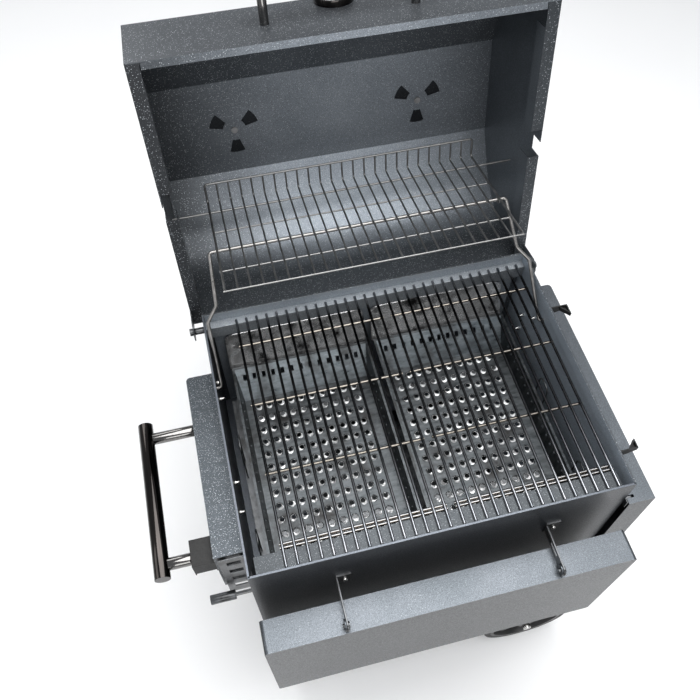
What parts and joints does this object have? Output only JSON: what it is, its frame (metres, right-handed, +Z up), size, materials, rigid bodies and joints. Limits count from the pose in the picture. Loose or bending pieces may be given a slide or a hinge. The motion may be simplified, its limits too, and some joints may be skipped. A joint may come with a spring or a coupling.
{
  "type": "charcoal grill trolley",
  "caption": "Charcoal grill trolley with an open folded-steel lid, wire grates over perforated charcoal pans, a warming rack, folding side and front tables, a push handle and wheels.",
  "frame": {"origin": "centre of the bounding box in plan, on the floor", "axes": "+Z up; +X to the grill's right as its user faces it, away from the push handle; +Y from the user towards the lid's hinge"},
  "size_m": [0.8144, 0.892, 1.3311],
  "materials": {
    "dark_hammered_paint": "hammered satin paint with fine silver speckle",
    "black_frame_paint": "satin black paint",
    "black_bracket_paint": "satin black paint",
    "galvanised_sheet": "bright rolled galvanised sheet, lightly mottled",
    "dark_zinc_steel": "dull zinc plate",
    "bright_steel": "bright plated",
    "polished_stainless": "polished stainless tube",
    "satin_stainless": "brushed stainless",
    "vent_disc_paint": "dark satin paint",
    "chromed_wire": "bright chromed wire",
    "grate_chrome": "chromed wire, slightly dull",
    "dial_white": "smooth white dial",
    "needle_red": "red pointer",
    "black_plastic": "moulded matt black",
    "wheel_plastic": "moulded satin black",
    "tyre_rubber": "matt black rubber"
  },
  "bodies": {
    "trolley": {"firebox_front_wall": "dark_hammered_paint", "firebox_rear_wall": "dark_hammered_paint", "firebox_left_wall": "dark_hammered_paint", "firebox_right_wall": "dark_hammered_paint", "firebox_floor": "dark_hammered_paint", "front_ledge": "dark_hammered_paint", "rear_ledge": "dark_hammered_paint", "rear_shield_left": "galvanised_sheet", "rear_shield_right": "galvanised_sheet", "wall_screws": "bright_steel", "lift_rack": "dark_zinc_steel", "drawer_runners": "black_frame_paint", "left_panel": "dark_hammered_paint", "push_handle_bar": "polished_stainless", "push_handle_posts": "satin_stainless", "handle_bracket": "dark_zinc_steel", "front_table_arm_left": "dark_zinc_steel", "front_table_arm_right": "dark_zinc_steel", "front_table_pins": "dark_zinc_steel", "side_table_hinge": "dark_zinc_steel", "rim_brackets": "black_bracket_paint", "leg_front_left": "black_frame_paint", "leg_rear_left": "black_frame_paint", "leg_front_right": "black_frame_paint", "leg_rear_right": "black_frame_paint", "feet": "black_plastic", "rail_front": "black_frame_paint", "rail_rear": "black_frame_paint", "bottom_shelf": "black_frame_paint", "axle": "bright_steel", "axle_nuts": "bright_steel", "hinge_bolts": "dark_zinc_steel"},
    "lid": {"lid_shell": "dark_hammered_paint", "lid_side_left": "dark_hammered_paint", "lid_side_right": "dark_hammered_paint", "lid_handle_bar": "polished_stainless", "lid_handle_posts": "satin_stainless", "thermometer_bezel": "polished_stainless", "thermometer_dial": "dial_white", "vent_rivets": "bright_steel"},
    "vent_left": {"vent_disc_left": "vent_disc_paint"},
    "vent_right": {"vent_disc_right": "vent_disc_paint"},
    "needle": {"thermometer_needle": "needle_red"},
    "bail": {"rack_bail": "chromed_wire"},
    "rack": {"warming_rack": "chromed_wire"},
    "left_grate": {"grate_left": "grate_chrome"},
    "right_grate": {"grate_right": "grate_chrome"},
    "carrier": {"pan_carrier": "dark_zinc_steel", "coal_pan_left": "galvanised_sheet", "coal_pan_right": "galvanised_sheet", "lift_lever": "dark_zinc_steel"},
    "drawer": {"ash_drawer": "galvanised_sheet", "ash_drawer_handle": "bright_steel"},
    "front_shelf": {"front_table": "dark_hammered_paint"},
    "side_shelf": {"side_table": "dark_hammered_paint"},
    "front_wheel": {"wheel_front": "wheel_plastic", "tyre_front": "tyre_rubber"},
    "rear_wheel": {"wheel_rear": "wheel_plastic", "tyre_rear": "tyre_rubber"}
  },
  "joints": [
    {"name": "lid_hinge", "type": "hinge", "parent": "trolley", "child": "lid", "pos_m": [0.03725, 0.10299, 0.823], "axis": [1, 0, 0], "range_deg": [0, 101.7]},
    {"name": "bail_pivot", "type": "hinge", "parent": "trolley", "child": "bail", "pos_m": [0.03725, -0.01401, 0.812], "axis": [1, 0, 0], "range_deg": [0, 85.1]},
    {"name": "rack_pivot", "type": "hinge", "parent": "bail", "child": "rack", "pos_m": [0.03725, 0.16113, 0.95689], "axis": [1, 0, 0], "range_deg": [-93.3, 0]},
    {"name": "vent_left_turn", "type": "hinge", "parent": "lid", "child": "vent_left", "pos_m": [-0.13825, 0.42219, 0.98361], "axis": [0, 0.9792, -0.2028], "range_deg": [-52, 8]},
    {"name": "vent_right_turn", "type": "hinge", "parent": "lid", "child": "vent_right", "pos_m": [0.21275, 0.42219, 0.98361], "axis": [0, 0.9792, -0.2028], "range_deg": [-52, 8]},
    {"name": "needle_turn", "type": "hinge", "parent": "lid", "child": "needle", "pos_m": [0.03725, 0.35211, 1.2616], "axis": [0, 0.2028, 0.9792], "range_deg": [-10, 240]},
    {"name": "front_table_fold", "type": "hinge", "parent": "trolley", "child": "front_shelf", "pos_m": [0.03725, -0.43601, 0.759], "axis": [1, 0, 0], "range_deg": [-90, 0]},
    {"name": "side_table_fold", "type": "hinge", "parent": "trolley", "child": "side_shelf", "pos_m": [0.34925, -0.15201, 0.792], "axis": [0, 1, 0], "range_deg": [-90, 0]},
    {"name": "carrier_lift", "type": "slide", "parent": "trolley", "child": "carrier", "axis": [0, 0, 1], "range_m": [0, 0.08]},
    {"name": "grate_left_lift", "type": "slide", "parent": "trolley", "child": "left_grate", "axis": [0, 0, 1], "range_m": [0, 0.03]},
    {"name": "grate_right_lift", "type": "slide", "parent": "trolley", "child": "right_grate", "axis": [0, 0, 1], "range_m": [0, 0.03]},
    {"name": "drawer_slide", "type": "slide", "parent": "trolley", "child": "drawer", "axis": [-1, 0, 0], "range_m": [0, 0.35]},
    {"name": "wheel_front_spin", "type": "hinge", "parent": "trolley", "child": "front_wheel", "pos_m": [0.30725, -0.37201, 0.1], "axis": [0, 1, 0], "continuous": true},
    {"name": "wheel_rear_spin", "type": "hinge", "parent": "trolley", "child": "rear_wheel", "pos_m": [0.30725, 0.11699, 0.1], "axis": [0, 1, 0], "continuous": true}
  ],
  "couplings": [
    {"joint": "bail_pivot", "follows": "lid_hinge", "ratio": 0.836},
    {"joint": "rack_pivot", "follows": "lid_hinge", "ratio": -0.9164}
  ]
}
